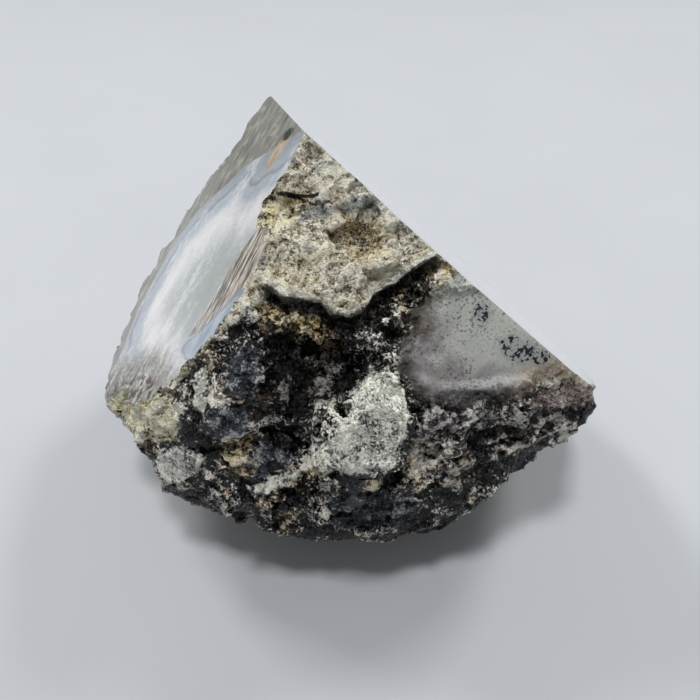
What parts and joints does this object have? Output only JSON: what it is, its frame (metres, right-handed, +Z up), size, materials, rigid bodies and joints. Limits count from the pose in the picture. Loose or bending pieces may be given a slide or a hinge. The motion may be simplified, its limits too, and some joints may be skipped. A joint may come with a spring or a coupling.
{
  "type": "banded agate specimen",
  "caption": "Broken piece of banded agate nodule with polished flat faces meeting in a short ridge and rough dark and cream rock elsewhere; display stone that rests on a flat spot.",
  "frame": {"origin": "on the surface that the stone rests on, under the middle of its bounding box", "axes": "+Z up; +Y away from the rough front, towards the back; +X to the right seen from the front"},
  "size_m": [0.1014, 0.09, 0.0742],
  "materials": {
    "agate": "glossy banded chalcedony on the two sawn faces, rough cream rind and charcoal rock on the broken ones"
  },
  "bodies": {
    "root": {"agate_stone": "agate"}
  },
  "joints": []
}
